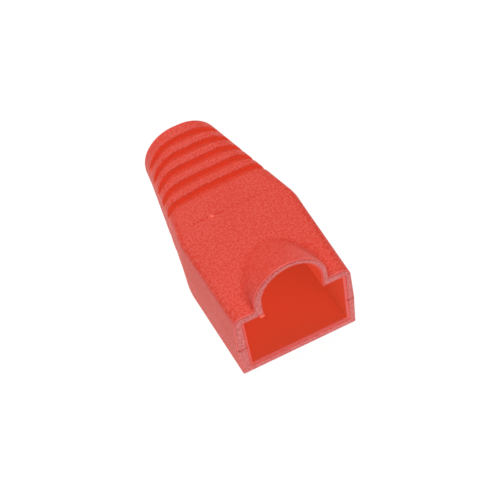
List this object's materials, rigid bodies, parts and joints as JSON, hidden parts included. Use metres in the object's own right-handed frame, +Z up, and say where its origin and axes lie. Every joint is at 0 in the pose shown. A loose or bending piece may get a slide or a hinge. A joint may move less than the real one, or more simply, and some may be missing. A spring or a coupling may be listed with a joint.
{
  "type": "rj45 strain relief boot",
  "caption": "Soft red boot that slips over the back of a modular plug, with an arched latch hood and a grooved round neck that supports the cable.",
  "frame": {"origin": "centre of the bounding box in plan, on the flat bottom face", "axes": "+Y along the boot from the plug mouth to the cable end, +X across the width, +Z up through the latch hood"},
  "size_m": [0.0148, 0.03, 0.0145],
  "materials": {
    "soft_pvc": "fine matt moulded texture"
  },
  "bodies": {
    "root": {"boot": "soft_pvc"}
  },
  "joints": []
}
